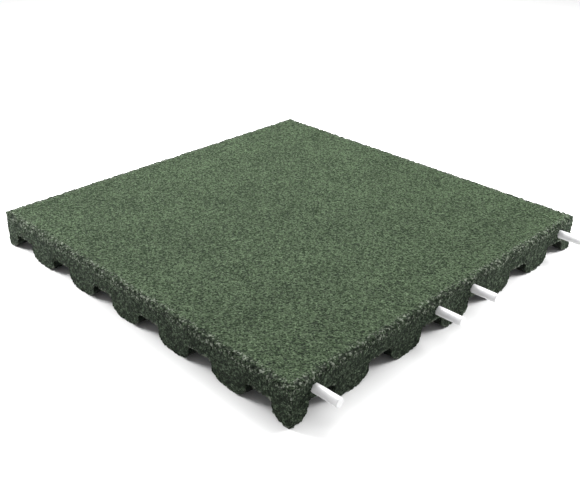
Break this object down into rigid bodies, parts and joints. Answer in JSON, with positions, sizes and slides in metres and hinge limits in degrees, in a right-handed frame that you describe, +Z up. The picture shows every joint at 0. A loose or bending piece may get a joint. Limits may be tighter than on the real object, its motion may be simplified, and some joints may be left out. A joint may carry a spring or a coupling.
{
  "type": "rubber safety tile",
  "caption": "Square rubber granulate safety tile with drainage channels underneath, plastic dowel pins on one side and matching sockets on the side opposite.",
  "frame": {"origin": "middle of the tile's underside, on the flat of its central foot, at ground level", "axes": "+Z up through the walking surface, +X towards the side that the dowel pins stand out of, +Y along that side"},
  "size_m": [0.53, 0.5, 0.045],
  "materials": {
    "rubber_granulate": "matte",
    "white_plastic": "satin"
  },
  "bodies": {
    "root": {"rubber_tile": "rubber_granulate", "dowel_pin_1": "white_plastic", "dowel_pin_2": "white_plastic", "dowel_pin_3": "white_plastic", "dowel_pin_4": "white_plastic"}
  },
  "joints": []
}
